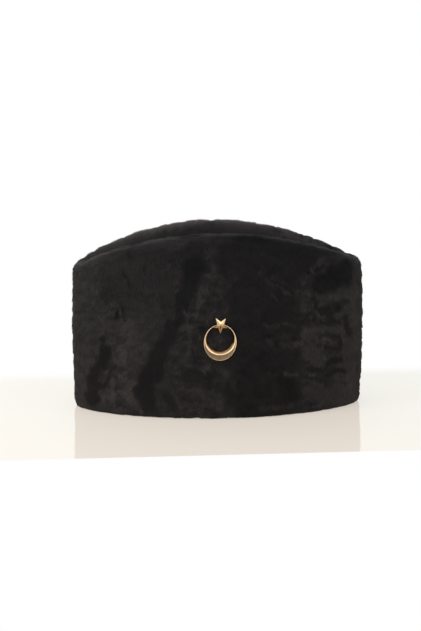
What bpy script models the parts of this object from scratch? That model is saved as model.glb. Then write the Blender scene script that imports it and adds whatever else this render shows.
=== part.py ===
"""A tall fur kalpak with a crescent and star badge, modelled in metres with +Z up.

The hat stands on its hem, with its broad front towards -Y. Two fur panels, front and back, are
sewn together at the left and right ends. Each rolls over its arched top edge, and a boat-shaped
crown panel hangs between the two rolls as a lengthwise valley. The solid of each fur piece is its
hide and its short pile together.
"""

import math

import bmesh
import bpy
import numpy as np
from mathutils import Matrix, Vector

for old in list(bpy.data.objects):
    bpy.data.objects.remove(old)

# Plan of the hat: half its width and depth at the hem, and how far the ends are pinched.
HALF_WIDTH = 0.1255
HALF_DEPTH = 0.0676
END_PINCH = 0.117

# Rim: its height at its peak, and how it falls away on both sides of it. The twist is how much
# further towards +X the peak is at the back than at the middle of the hat. The tilt is how much
# higher the rim is at the +X end, and lower at the other, than it would be on an even hat.
RIM_HEIGHT = 0.1548
RIM_PEAK_X = -0.0026
RIM_TWIST = 0.0030
RIM_DROP = 0.0183
RIM_DROP_REACH = 0.101
RIM_POWER = 2.0
RIM_TILT = 0.0020

# Fur wall: hide and pile together, its rounded edges, and its soft bulge. The hem's outer round
# is taller at the hat's ends than at its middles.
WALL = 0.008
WALL_BULGE = 0.0013
HEM_ROUND = 0.004
HEM_RISE_END = 0.0105
HEM_INNER_ROUND = 0.0015
ROLL_RADIUS = 0.009
SEAM_RUN = 0.008
SLOPE_MIDDLE = math.radians(45)
SLOPE_END = math.radians(14)

# Crown panel: its thickness, its half length, and the valley's floor below the crown's seams.
CROWN = 0.007
CROWN_HALF_LENGTH = 0.104
CROWN_TIP = math.radians(87)
VALLEY_FALL = 0.034
VALLEY_POWER = 1.6
VALLEY_ROUNDNESS = 0.6

# Badge: an oval crescent round an offset hole, with a star under its thin upper band. It hangs
# a little askew. Its section is steep towards the hole and flatter outside the ridge.
BADGE_X = -0.0055
BADGE_Z = 0.06575
BADGE_TILT = math.radians(2)
CRESCENT_HALF_WIDTH = 0.0135
CRESCENT_HALF_HEIGHT = 0.01515
HOLE_RADIUS = 0.01085
HOLE_RISE = 0.00335
RIDGE_INSET = 0.0022
RIDGE_SHARE = 0.55
RIDGE_LOW = 0.0024
RIDGE_HIGH = 0.0031
CRESCENT_SECTION = (
    # share of the inner slope crossed, share of the outer slope crossed, share of the height
    (0.0, 0.0, 0.10),
    (0.85, 0.0, 0.86),
    (1.0, 0.0, 0.97),
    (1.0, 0.15, 1.00),
    (1.0, 0.88, 0.94),
    (1.0, 1.0, 0.82),
)
STAR_RADIUS = 0.0072
STAR_WAIST = 0.0030
STAR_RISE = 0.0107
STAR_APEX = 0.0014
STAR_EDGE = 0.0004
STAR_POINTS = 5

# Pin behind the badge: a shaft through the front panel with a round head inside the hat. The
# head's gap is measured at its middle, and the curved hide comes nearer to its edge.
PIN_RADIUS = 0.0012
PIN_HOLE_RADIUS = 0.0015
PIN_HEAD_RADIUS = 0.005
PIN_HEAD_HEIGHT = 0.0018
PIN_HEAD_GAP = 0.0005

# Clearance between neighbouring pieces, and the shift that centres the hat with its badge.
GAP = 0.0003
SHIFT_Y = (GAP + RIDGE_HIGH) / 2

PANEL_STATIONS = 41
HEM_POINTS = 5
WALL_POINTS = 8
ROLL_POINTS = 9
HIDE_ROLL_POINTS = 4
CROWN_STATIONS = 37
CROWN_STEPS = 8
CRESCENT_STATIONS = 60
ROUND_SIDES = 20


def plan(angle):
    """Point of the hat's plan and its outward normal. The angle is 0 at the front's middle."""
    sine, cosine = math.sin(angle), math.cos(angle)
    depth = HALF_DEPTH * (1 - END_PINCH * sine**2)
    point = Vector((HALF_WIDTH * sine, -depth * cosine, 0))
    along = Vector((
        HALF_WIDTH * cosine,
        depth * sine + 2 * HALF_DEPTH * END_PINCH * sine * cosine**2,
        0,
    ))
    return point, Vector((along.y, -along.x, 0)).normalized()


def rim_height(x, y):
    peak_x = RIM_PEAK_X + RIM_TWIST * y / HALF_DEPTH
    fall = RIM_DROP * (abs(x - peak_x) / RIM_DROP_REACH) ** RIM_POWER
    return RIM_HEIGHT - fall + RIM_TILT * (x / HALF_WIDTH) ** 3


def slope_at(angle):
    """How steeply the fur dives into the valley behind the rim, steepest at the middle."""
    return SLOPE_END + (SLOPE_MIDDLE - SLOPE_END) * math.cos(angle)


def hem_rise(angle):
    """Height of the hem's outer round."""
    return HEM_ROUND + (HEM_RISE_END - HEM_ROUND) * math.sin(angle) ** 2


def bulge_at(share):
    """How far the wall stands out, from 0 at the hem to 0 again at the rim."""
    return WALL_BULGE * math.sin(math.pi * share)


def wall_section(angle, side):
    """The panel's closed section as pairs of outward offset and height, pile side first."""
    base, _ = plan(angle)
    roll_z = rim_height(base.x, side * base.y) - ROLL_RADIUS
    slope = slope_at(angle)
    turn = math.pi / 2 + slope
    rise = hem_rise(angle)
    rising = np.linspace(0, 1, WALL_POINTS)

    hem = [
        (HEM_ROUND * (math.cos(a) - 1), rise * (1 + math.sin(a)))
        for a in np.linspace(-math.pi / 2, 0, HEM_POINTS)
    ]
    wall = [(bulge_at(t), rise + t * (roll_z - rise)) for t in rising[1:]]
    roll = [
        (ROLL_RADIUS * (math.cos(a) - 1), roll_z + ROLL_RADIUS * math.sin(a))
        for a in np.linspace(0, turn, ROLL_POINTS)[1:]
    ]
    seam = Vector(roll[-1]) - Vector((math.cos(slope), math.sin(slope))) * SEAM_RUN

    hide_seam = seam + Vector((math.sin(slope), -math.cos(slope))) * WALL
    hide_radius = ROLL_RADIUS - WALL
    hide_roll = [
        (hide_radius * math.cos(a) - ROLL_RADIUS, roll_z + hide_radius * math.sin(a))
        for a in np.linspace(turn, 0, HIDE_ROLL_POINTS)
    ]
    hide_wall = [
        (bulge_at(t) - WALL, HEM_INNER_ROUND + t * (roll_z - HEM_INNER_ROUND))
        for t in rising[-2::-1]
    ]
    foot = (HEM_INNER_ROUND - WALL, 0)
    return [foot, *hem, *wall, *roll, seam, hide_seam, *hide_roll, *hide_wall]


def skin_y(z):
    """Where the front panel's pile side is on its middle line, at a height on the wall."""
    share = (z - HEM_ROUND) / (rim_height(0, -HALF_DEPTH) - ROLL_RADIUS - HEM_ROUND)
    return -HALF_DEPTH - bulge_at(share)


def plain_material(name, colour, roughness, metallic):
    made = bpy.data.materials.new(name)
    made.use_nodes = True
    shader = made.node_tree.nodes["Principled BSDF"]
    shader.inputs["Base Color"].default_value = (*colour, 1)
    shader.inputs["Roughness"].default_value = roughness
    shader.inputs["Metallic"].default_value = metallic
    return made


def piece(name, mesh, finish):
    """Turns a bmesh into a named object whose faces point outwards, on the hat's own empty."""
    bmesh.ops.recalc_face_normals(mesh, faces=mesh.faces[:])
    data = bpy.data.meshes.new(name)
    mesh.to_mesh(data)
    mesh.free()
    data.shade_smooth()
    data.set_sharp_from_angle(angle=math.radians(40))
    data.materials.append(finish)
    made = bpy.data.objects.new(name, data)
    made.parent = kalpak
    bpy.context.scene.collection.objects.link(made)
    return made


def loft(rings, closed):
    """A solid through rings of equally many points: a closed loop, or capped at both ends."""
    mesh = bmesh.new()
    rows = [[mesh.verts.new(point) for point in ring] for ring in rings]
    following_rows = rows[1:] + rows[:1] if closed else rows[1:]
    for row, following in zip(rows, following_rows):
        for i in range(len(row)):
            j = (i + 1) % len(row)
            mesh.faces.new((row[i], row[j], following[j], following[i]))
    if not closed:
        mesh.faces.new(rows[0])
        mesh.faces.new(rows[-1])
    return mesh


def boolean(target, tool, operation):
    """Joins the tool to the target or cuts it away. The tool stays in the scene as a helper."""
    tool.hide_render = True
    tool.display_type = "WIRE"
    modifier = target.modifiers.new(operation.lower(), "BOOLEAN")
    modifier.operation = operation
    modifier.object = tool


def fur_panel(name, side, fur):
    """One broad wall of the hat. Side is 1 for the front and -1 for the back."""
    rings = []
    for angle in np.linspace(-math.pi / 2, math.pi / 2, PANEL_STATIONS):
        base, normal = plan(angle)
        ring = []
        for offset, height in wall_section(angle, side):
            point = base + normal * offset
            y = min(point.y, -GAP / 2)
            ring.append((point.x, side * y, height))
        rings.append(ring)
    return piece(name, loft(rings, closed=False), fur)


def crown_half(angle, depth, side):
    """Half of the crown's line across the hat, from its seam to the valley's floor, at a depth
    in the pelt. Side is 1 for the front half and -1 for the back half."""
    base, normal = plan(angle)
    slope = slope_at(angle)
    slide = -normal * math.cos(slope) - Vector((0, 0, math.sin(slope)))
    seam = base - normal * ROLL_RADIUS * (1 + math.sin(slope)) + slide * (SEAM_RUN + GAP)
    below_rim = ROLL_RADIUS * (1 - math.cos(slope)) - seam.z
    seam.z = rim_height(base.x, side * base.y) - below_rim

    fall = VALLEY_FALL * math.cos(angle) ** VALLEY_POWER
    floor_z = rim_height(base.x, 0) - below_rim - fall - depth
    floor = Vector((CROWN_HALF_LENGTH * math.sin(angle), 0, floor_z))
    seam += (normal * math.sin(slope) - Vector((0, 0, math.cos(slope)))) * depth
    length = (floor - seam).length
    leave, arrive = slide * length, Vector((0, length * VALLEY_ROUNDNESS, 0))
    points = [
        seam * (2 * t**3 - 3 * t**2 + 1)
        + leave * (t**3 - 2 * t**2 + t)
        + floor * (3 * t**2 - 2 * t**3)
        + arrive * (t**3 - t**2)
        for t in np.linspace(0, 1, CROWN_STEPS + 1)
    ]
    return [Vector((point.x, side * point.y, point.z)) for point in points]


def crown_line(angle, depth):
    """The crown across the hat, from its front seam to its back seam, at a depth in the pelt."""
    return crown_half(angle, depth, 1) + crown_half(angle, depth, -1)[-2::-1]


def crown_panel(fur):
    """The sunken top: a pile side hung between the two seams, and a hide side under it."""
    rings = []
    for angle in np.linspace(-CROWN_TIP, CROWN_TIP, CROWN_STATIONS):
        rings.append(crown_line(angle, 0) + crown_line(angle, CROWN)[::-1])
    return piece("crown_panel", loft(rings, closed=False), fur)


def crescent(metal):
    """A ring round the hole, thin above and broad below, raised to a ridge near the hole."""
    rings = []
    widest = CRESCENT_HALF_HEIGHT + HOLE_RISE - HOLE_RADIUS
    for angle in np.linspace(0, 2 * math.pi, CRESCENT_STATIONS, endpoint=False):
        sine, cosine = math.sin(angle), math.cos(angle)
        # The outer oval, met by a ray from the hole's centre: a quadratic in the distance.
        a = (cosine / CRESCENT_HALF_WIDTH) ** 2 + (sine / CRESCENT_HALF_HEIGHT) ** 2
        b = 2 * HOLE_RISE * sine / CRESCENT_HALF_HEIGHT**2
        c = (HOLE_RISE / CRESCENT_HALF_HEIGHT) ** 2 - 1
        outer = (math.sqrt(b * b - 4 * a * c) - b) / (2 * a)
        band = outer - HOLE_RADIUS
        inner_slope = min(RIDGE_INSET, RIDGE_SHARE * band)
        outer_slope = band - inner_slope
        height = RIDGE_LOW + (RIDGE_HIGH - RIDGE_LOW) * band / widest

        section = [(HOLE_RADIUS, 0)]
        for inner_share, outer_share, height_share in CRESCENT_SECTION:
            reach = HOLE_RADIUS + inner_share * inner_slope + outer_share * outer_slope
            section.append((reach, height_share * height))
        section.append((outer, 0))
        rings.append([(r * cosine, -h, HOLE_RISE + r * sine) for r, h in section])
    return piece("crescent_star_badge", loft(rings, closed=True), metal)


def star(metal):
    """A star with one point down, whose ridges rise to its middle."""
    mesh = bmesh.new()
    centre_z = HOLE_RISE + STAR_RISE
    outline = []
    for i in range(2 * STAR_POINTS):
        radius = STAR_WAIST if i % 2 else STAR_RADIUS
        angle = -math.pi / 2 + i * math.pi / STAR_POINTS
        outline.append((radius * math.cos(angle), centre_z + radius * math.sin(angle)))
    back = [mesh.verts.new((x, 0, z)) for x, z in outline]
    edge = [mesh.verts.new((x, -STAR_EDGE, z)) for x, z in outline]
    apex = mesh.verts.new((0, -STAR_APEX, centre_z))
    mesh.faces.new(back)
    for i in range(len(outline)):
        j = (i + 1) % len(outline)
        mesh.faces.new((back[i], back[j], edge[j], edge[i]))
        mesh.faces.new((edge[i], edge[j], apex))
    return piece("star_tool", mesh, metal)


def rod(name, radius, front, back, metal):
    """A round bar along Y, on the line of the badge's pin, which is the bar's own X and Z."""
    mesh = bmesh.new()
    middle = Matrix.Translation((0, (front + back) / 2, 0))
    bmesh.ops.create_cone(
        mesh,
        cap_ends=True,
        segments=ROUND_SIDES,
        radius1=radius,
        radius2=radius,
        depth=back - front,
        matrix=middle @ Matrix.Rotation(math.pi / 2, 4, "X"),
    )
    made = piece(name, mesh, metal)
    made.location = (BADGE_X, 0, PIN_Z)
    return made


def badge(metal):
    """The crescent and the star as one soldered solid, lying on the pile."""
    made = crescent(metal)
    tool = star(metal)
    for shape in (made, tool):
        shape.location = (BADGE_X, BADGE_BACK_Y, BADGE_Z)
        shape.rotation_euler.y = BADGE_TILT
    boolean(made, tool, "UNION")


def badge_pin(front_panel, steel):
    """The pin and its head as one solid, and the pin's hole in the front panel."""
    hide_y = skin_y(PIN_Z) + WALL
    head_front = hide_y + PIN_HEAD_GAP
    head_back = head_front + PIN_HEAD_HEIGHT
    pin = rod("badge_pin", PIN_RADIUS, BADGE_BACK_Y + GAP, (head_front + head_back) / 2, steel)
    head = rod("pin_head_tool", PIN_HEAD_RADIUS, head_front, head_back, steel)
    boolean(pin, head, "UNION")
    hole = rod("pin_hole_tool", PIN_HOLE_RADIUS, BADGE_BACK_Y - WALL, hide_y + WALL, steel)
    boolean(front_panel, hole, "DIFFERENCE")


# The badge's back is just off the pile, and its pin is behind the broad end of the crescent.
BADGE_BACK_Y = skin_y(BADGE_Z) - GAP
PIN_Z = BADGE_Z + (HOLE_RISE - HOLE_RADIUS - CRESCENT_HALF_HEIGHT) / 2

kalpak = bpy.data.objects.new("kalpak", None)
kalpak.location = (0, SHIFT_Y, 0)
bpy.context.scene.collection.objects.link(kalpak)

black_fur = plain_material("black_fur", (0.012, 0.011, 0.011), 0.85, 0.0)
gilt_brass = plain_material("gilt_brass", (0.62, 0.42, 0.20), 0.30, 1.0)
pin_steel = plain_material("pin_steel", (0.55, 0.55, 0.56), 0.35, 1.0)

front = fur_panel("front_panel", 1, black_fur)
fur_panel("back_panel", -1, black_fur)
crown_panel(black_fur)
badge(gilt_brass)
badge_pin(front, pin_steel)
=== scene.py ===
"""The looks of a tall black lambskin kalpak with a gilt crescent and star badge, in metres.

The hat stands on its hem, with its front towards -Y. Each of its three pelts is a dense hide
with thousands of short tufts of pile on it, laid in the swirls that the real fleece grows in.
"""

import math

import bpy
import numpy as np
from mathutils import Matrix, Vector


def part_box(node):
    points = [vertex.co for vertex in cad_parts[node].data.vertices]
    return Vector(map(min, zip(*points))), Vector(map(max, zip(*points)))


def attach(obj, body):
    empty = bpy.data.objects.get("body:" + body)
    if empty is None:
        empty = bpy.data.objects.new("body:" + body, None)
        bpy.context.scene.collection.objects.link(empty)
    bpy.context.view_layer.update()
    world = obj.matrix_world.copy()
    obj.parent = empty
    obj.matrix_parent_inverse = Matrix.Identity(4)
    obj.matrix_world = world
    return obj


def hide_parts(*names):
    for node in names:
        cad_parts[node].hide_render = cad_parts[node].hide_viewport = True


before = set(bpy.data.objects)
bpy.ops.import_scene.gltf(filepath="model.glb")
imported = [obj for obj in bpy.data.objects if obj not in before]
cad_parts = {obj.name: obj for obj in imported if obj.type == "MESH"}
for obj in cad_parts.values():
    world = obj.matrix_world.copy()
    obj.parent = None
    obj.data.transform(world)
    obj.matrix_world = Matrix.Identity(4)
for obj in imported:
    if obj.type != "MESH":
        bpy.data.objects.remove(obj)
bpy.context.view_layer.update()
MM = 0.001


# Camera
# It stands 1.28 m in front of the hat, a little to the left and 285 mm up, with a long lens. The
# lens and the shift put the hat where the photograph has it.

IMAGE_HEIGHT_PX = 631
FOCAL_LENGTH_PX = 1498
HAT_RIGHT_OF_MIDDLE_PX = 7.8
HAT_ABOVE_MIDDLE_PX = 1.7
CAMERA_DISTANCE = 1279 * MM
CAMERA_HEIGHT = 285 * MM
CAMERA_YAW = math.radians(5.7)
LOOK_HEIGHT = 78 * MM
PLAN_CENTRE_Y = 1.7 * MM

camera_data = bpy.data.cameras.new("camera")
camera = bpy.data.objects.new("camera", camera_data)
bpy.context.scene.collection.objects.link(camera)
camera.location = (
    -CAMERA_DISTANCE * math.sin(CAMERA_YAW),
    PLAN_CENTRE_Y - CAMERA_DISTANCE * math.cos(CAMERA_YAW),
    CAMERA_HEIGHT,
)
look = Vector((0, PLAN_CENTRE_Y, LOOK_HEIGHT)) - camera.location
camera.rotation_euler = look.to_track_quat("-Z", "Y").to_euler()
camera_data.lens = camera_data.sensor_width * FOCAL_LENGTH_PX / IMAGE_HEIGHT_PX
camera_data.shift_x = -HAT_RIGHT_OF_MIDDLE_PX / IMAGE_HEIGHT_PX
camera_data.shift_y = -HAT_ABOVE_MIDDLE_PX / IMAGE_HEIGHT_PX
bpy.context.scene.camera = camera


# Front and back hides
# Lambskin hide, tanned black, cut as two broad panels and sewn together at the ends of the hat.
# Each is folded in over its arched rim. The pile side is lumpy, and the inside is bare leather.

HALF_WIDTH = 125.5 * MM
HALF_DEPTH = 67.6 * MM
END_PINCH = 0.117
RIM_HEIGHT = 154.8 * MM
RIM_PEAK_X = -2.6 * MM
RIM_TWIST = 3.0 * MM
RIM_DROP = 18.3 * MM
RIM_DROP_REACH = 101 * MM
RIM_POWER = 2.0
RIM_TILT = 2.0 * MM
WALL = 8 * MM
WALL_BULGE = 1.3 * MM
HEM_ROUND = 4 * MM
HEM_RISE_END = 10.5 * MM
HEM_INNER_ROUND = 1.5 * MM
ROLL_RADIUS = 9 * MM
SEAM_RUN = 8 * MM
SLOPE_MIDDLE = math.radians(45)
SLOPE_END = math.radians(14)
SEAM_GAP = 0.3 * MM
END_SEAM_GAP = 0.02 * MM

# The front's chart. Each streak's tone is painted sheen, lighter and darker where the nap turns.
# The rows along the rim's fold, near 150 mm up, are its painted highlight on the left and painted
# shade on the right.
STREAKS = (
    # from x, from z, to x, to z, half width, tone, curl, all but the last two in mm
    (-122, 126, -123, 7, 22.1, 0.27, 0.2),
    (-91, 135, -83, 98, 15.6, 0.04, 0.1),
    (-62, 141, -56, 113, 11.5, 0.06, 0.1),
    (-90, 79, -84, 58, 18.0, 0.34, 0.3),
    (-64, 99, -64, 83, 11.5, 0.14, 0.3),
    (-96, 26, -84, 14, 18.0, 0.26, 0.5),
    (-22, 107, -22, 16, 21.3, 0.00, 0.6),
    (-28, 140, -27, 130, 11.0, -0.30, 0.1),
    (-74, 145, -40, 150, 7.0, 0.30, 0.1),
    (-40, 151, -12, 154, 5.5, 0.32, 0.1),
    (-27, 127, -27, 119, 9.4, -0.78, 0.1),
    (-31, 113, -36, 94, 5.3, -0.66, 0.1),
    (-38, 94, -41, 82, 4.1, -0.60, 0.1),
    (-46, 78, -53, 58, 5.7, -0.62, 0.1),
    (-54, 58, -61, 36, 7.4, -0.70, 0.1),
    (-64, 36, -66, 18, 8.2, -0.75, 0.1),
    (-66, 18, -65, 8, 5.7, -0.70, 0.1),
    (10, 132, 62, 130, 18.0, -0.44, 0.1),
    (14, 154, 60, 151, 5.5, -0.60, 0.1),
    (62, 150, 118, 137, 7.5, -0.74, 0.1),
    (30, 108, 35, 49, 31.1, -0.42, 0.2),
    (30, 37, 42, 18, 21.3, -0.60, 0.2),
    (12, 24, 20, 9, 13.0, -0.66, 0.2),
    (49, 29, 56, 15, 7.4, -0.75, 0.1),
    (-84, 123, -81, 109, 1.0, -0.60, 0.0),
    (-87, 96, -82, 83, 1.0, -0.55, 0.0),
    (-90, 85, -89, 84, 2.1, -0.80, 0.0),
    (-104, 64, -102, 55, 1.3, -0.50, 0.0),
    (-101, 53, -104, 41, 4.5, -0.66, 0.1),
    (-109, 35, -110, 8, 4.6, -0.62, 0.1),
    (-91, 40, -98, 37, 1.3, -0.45, 0.2),
    (-97, 35, -103, 22, 1.5, -0.45, 0.2),
    (-85, 54, -86, 47, 2.5, 0.70, 0.2),
    (-76, 72, -90, 54, 1.3, 0.65, 0.2),
    (-94, 28, -96, 11, 2.5, 0.65, 0.3),
    (-78, 28, -79, 12, 2.9, 0.60, 0.3),
    (-78, 136, -77, 133, 1.5, -0.40, 0.0),
    (-65, 124, -64, 122, 2.0, -0.35, 0.0),
    (-41, 134, -48, 129, 1.1, -0.60, 0.0),
    (-48, 128, -52, 123, 0.8, 0.40, 0.0),
    (-22, 107, -24, 94, 1.5, 0.42, 0.2),
    (-37, 89, -28, 74, 1.5, 0.42, 0.2),
    (-30, 81, -30, 79, 1.8, -0.55, 0.0),
    (-28, 59, -28, 48, 1.4, -0.50, 0.0),
    (-35, 48, -30, 62, 2.0, 0.42, 0.2),
    (-28, 35, -15, 35, 6.6, -0.45, 0.3),
    (-19, 42, -17, 41, 1.6, 0.70, 0.0),
    (-23, 22, -14, 16, 4.5, 0.28, 0.3),
    (-48, 19, -43, 12, 3.3, -0.50, 0.2),
    (-8, 122, 1, 111, 1.1, 0.15, 0.0),
    (3, 122, 7, 118, 2.9, -0.05, 0.4),
    (26, 121, 28, 120, 1.3, 0.15, 0.0),
    (33, 117, 54, 104, 0.9, 0.25, 0.0),
    (49, 106, 55, 103, 1.1, 0.45, 0.0),
    (39, 119, 57, 109, 0.8, 0.00, 0.0),
    (38, 102, 43, 97, 1.1, 0.35, 0.0),
    (20, 106, 26, 104, 3.3, -0.20, 0.3),
    (32, 77, 45, 75, 1.0, 0.30, 0.0),
    (49, 77, 60, 76, 1.2, 0.35, 0.0),
    (40, 64, 66, 61, 7.0, -0.15, 0.7),
    (50, 36, 62, 35, 1.1, 0.60, 0.0),
    (34, 35, 43, 34, 0.8, -0.05, 0.0),
    (5, 31, 7, 26, 2.5, -0.15, 0.3),
    (30, 8, 56, 6, 2.5, 0.00, 0.4),
    (82, 128, 66, 108, 4.5, -0.05, 0.6),
    (63, 101, 72, 94, 4.9, 0.05, 0.6),
    (79, 81, 80, 17, 13.9, 0.22, 0.6),
    (106, 93, 109, 9, 12.3, 0.32, 0.2),
    (93, 121, 108, 122, 4.5, -0.62, 0.1),
    (88, 109, 105, 115, 10.5, -0.78, 0.1),
    (79, 105, 92, 103, 4.9, -0.62, 0.1),
    (79, 97, 100, 95, 2.5, 0.40, 0.3),
    (75, 97, 79, 87, 1.3, -0.60, 0.0),
    (83, 87, 98, 86, 4.1, -0.55, 0.3),
    (103, 89, 108, 90, 2.0, -0.20, 0.0),
    (82, 76, 100, 73, 1.5, -0.60, 0.0),
    (107, 77, 111, 65, 2.8, -0.50, 0.0),
    (76, 70, 104, 67, 2.9, 0.50, 0.2),
    (86, 63, 98, 62, 2.1, -0.45, 0.0),
    (99, 61, 99, 52, 2.3, -0.50, 0.0),
    (98, 51, 87, 55, 1.9, -0.50, 0.0),
    (71, 54, 80, 43, 5.7, 0.50, 0.1),
    (71, 39, 86, 38, 2.2, -0.62, 0.0),
    (89, 41, 101, 42, 2.7, -0.68, 0.0),
    (68, 32, 87, 28, 2.0, -0.35, 0.0),
    (89, 32, 105, 32, 2.5, -0.70, 0.0),
    (86, 29, 90, 25, 3.0, -0.40, 0.2),
    (104, 22, 107, 21, 1.6, -0.15, 0.0),
    (74, 17, 106, 10, 8.2, 0.32, 0.1),
)

STREAK_EDGE = 0.6 * MM
STREAK_FADE = 0.22
STREAK_BEND, STREAK_BEND_SIZE = 4.0 * MM, 13 * MM
STREAK_FRAY, STREAK_FRAY_SIZE = 1.6 * MM, 4 * MM
BACK_SWING = 0.5
BACK_CLOUD_SIZE = 34 * MM
BACK_CURL_SIZE = 40 * MM
BACK_CALM_REACH = 45 * MM
EVEN_CURL = 0.3
CURL_WIDTH, CURL_HEIGHT = 9 * MM, 4.5 * MM
CURL_BEND, CURL_BEND_SIZE = 7 * MM, 16 * MM
CURL_LUMPS = 1.6
PILE_DEPTH = 2.2 * MM
HEM_PILE_DEPTH = 0.7 * MM
HEM_PILE_REACH = 14 * MM
HIDE_LUMPS, HIDE_LUMP_SIZE = 0.5 * MM, 12 * MM
CREASE_DEPTH = 0.9 * MM
CREASE_SHADE = 0.3
CREASE_SPACING, CREASE_LENGTH = 9 * MM, 40 * MM
HIDE_STATIONS = 200
HIDE_OUTER_POINTS = 104
HIDE_INNER_POINTS = 52


def plan(angle):
    """The hat's plan, a pinched oval: x is A sin a, and y is -B (1 - q sin² a) cos a.

    Gives the points' x and y, and the outward normal's x and y."""
    sine, cosine = np.sin(angle), np.cos(angle)
    depth = HALF_DEPTH * (1 - END_PINCH * sine**2)
    along_x = HALF_WIDTH * cosine
    along_y = depth * sine + 2 * HALF_DEPTH * END_PINCH * sine * cosine**2
    length = np.hypot(along_x, along_y)
    return HALF_WIDTH * sine, -depth * cosine, along_y / length, -along_x / length


def plan_lengths():
    """Distances along the plan from the front's middle, at evenly spaced angles."""
    angles = np.linspace(-math.pi / 2, math.pi / 2, 2001)
    x, y, _, _ = plan(angles)
    steps = np.hypot(np.diff(x), np.diff(y))
    lengths = np.concatenate([[0], np.cumsum(steps)])
    return angles, lengths - lengths[-1] / 2


PLAN_ANGLES, PLAN_LENGTHS = plan_lengths()
HALF_GIRTH = PLAN_LENGTHS[-1]


def rim_height(x, y):
    """Height of the rim's top: it falls away from its peak as a power of the distance.

    The peak's own x grows with y, so the back's peak is further to the right than the front's.
    The cube of x makes the right end a little higher than the left."""
    peak_x = RIM_PEAK_X + RIM_TWIST * y / HALF_DEPTH
    fall = RIM_DROP * (np.abs(x - peak_x) / RIM_DROP_REACH) ** RIM_POWER
    return RIM_HEIGHT - fall + RIM_TILT * (x / HALF_WIDTH) ** 3


def slope_at(angle):
    """How steeply the pelt dives behind the rim, from the ends' slope to the middle's."""
    return SLOPE_END + (SLOPE_MIDDLE - SLOPE_END) * np.cos(angle)


def hem_rise(angle):
    """Height of the hem's outer round, which is taller at the hat's ends."""
    return HEM_ROUND + (HEM_RISE_END - HEM_ROUND) * np.sin(angle) ** 2


def hem_length(rise):
    """Length of the hem's outer round, a quarter of an ellipse, to within a few hundredths."""
    return math.pi / 2 * np.sqrt((HEM_ROUND**2 + rise**2) / 2)


def panel_run(along, side):
    """Length of a panel's section on its pile side, from under the hem to the crown's seam."""
    angle = np.interp(along, PLAN_LENGTHS, PLAN_ANGLES)
    base_x, base_y, _, _ = plan(angle)
    rise = hem_rise(angle)
    wall = rim_height(side * base_x, side * base_y) - ROLL_RADIUS - rise
    return hem_length(rise) + wall + ROLL_RADIUS * (math.pi / 2 + slope_at(angle)) + SEAM_RUN


def panel(along, run, sink, side):
    """Points of a fur panel, from the distance along the plan and the distance up the section.

    The section is a quarter of an ellipse at the hem, then a wall with a sine bulge, then an arc
    over the rim, then a straight slope to the seam. Sink moves a point inwards along the section's
    normal. Side is 1 for the front, and -1 for the back, which is the front turned half round."""
    angle = np.interp(along, PLAN_LENGTHS, PLAN_ANGLES)
    base_x, base_y, normal_x, normal_y = plan(angle)
    rise = hem_rise(angle)
    slope = slope_at(angle)
    turn = math.pi / 2 + slope
    wall = rim_height(side * base_x, side * base_y) - ROLL_RADIUS - rise
    hem_run = hem_length(rise)

    hem = (np.clip(run / hem_run, 0, 1) - 1) * math.pi / 2
    climb = np.clip(run - hem_run, 0, wall)
    over = np.clip((run - hem_run - wall) / ROLL_RADIUS, 0, turn)
    down = np.clip(run - hem_run - wall - ROLL_RADIUS * turn, 0, SEAM_RUN)
    facing = np.arctan2(HEM_ROUND * np.sin(hem), rise * np.cos(hem)) + over
    out = (
        HEM_ROUND * (np.cos(hem) - 1)
        + WALL_BULGE * np.sin(math.pi * climb / wall)
        + ROLL_RADIUS * (np.cos(over) - 1)
        - down * np.cos(slope)
        - sink * np.cos(facing)
    )
    height = (
        rise * (1 + np.sin(hem))
        + climb
        + ROLL_RADIUS * np.sin(over)
        - down * np.sin(slope)
        - sink * np.sin(facing)
    )
    x = base_x + normal_x * out
    y = np.minimum(base_y + normal_y * out, -END_SEAM_GAP / 2)
    return np.stack([side * x, side * y + PLAN_CENTRE_Y, height], axis=-1)


def cells(across, up, seed):
    """Smooth random cells from -1 to 1: a table of random values, blended by an S-curve."""
    table = np.random.default_rng(seed).uniform(-1, 1, (64, 64))
    left, low = np.floor(across).astype(int), np.floor(up).astype(int)
    u, v = across - left, up - low
    u, v = u * u * (3 - 2 * u), v * v * (3 - 2 * v)
    lower = table[left % 64, low % 64] * (1 - u) + table[(left + 1) % 64, low % 64] * u
    upper = table[left % 64, (low + 1) % 64] * (1 - u) + table[(left + 1) % 64, (low + 1) % 64] * u
    return lower * (1 - v) + upper * v


def cloud(across, up, size, seed):
    """Cells of one size with two finer layers on them, each half as large and half as strong."""
    total = np.zeros(np.broadcast(across, up).shape)
    for layer in range(3):
        scale = 2**layer / size
        shifted = across * scale + 17.3 * layer, up * scale + 5.9 * layer
        total += cells(*shifted, seed + layer) / 2**layer
    return total / 1.75


def curls(across, up, seed):
    """Ridges of the fleece's curls: stretched cells, bent by a cloud, folded at zero."""
    bent_across = across + CURL_BEND * cloud(across, up, CURL_BEND_SIZE, seed + 10)
    bent_up = up + CURL_BEND * cloud(across, up, CURL_BEND_SIZE, seed + 20)
    folded = np.abs(cells(bent_across / CURL_WIDTH, bent_up / CURL_HEIGHT, seed + 30))
    return 1 - 2.4 * folded


def pile_depth(run):
    """Depth of the pile over the hide: thin where it turns under the hem, then even."""
    share = np.clip(run / HEM_PILE_REACH, 0, 1)
    return HEM_PILE_DEPTH + (PILE_DEPTH - HEM_PILE_DEPTH) * share * share * (3 - 2 * share)


def hide_lumps(across, up, curl, seed):
    """How far the hide's pile side sinks below its mean, most in the curls of curly fleece."""
    ridges = CURL_LUMPS * curl * curls(across, up, seed + 3)
    return HIDE_LUMPS * (cloud(across, up, HIDE_LUMP_SIZE, seed) - ridges)


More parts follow.
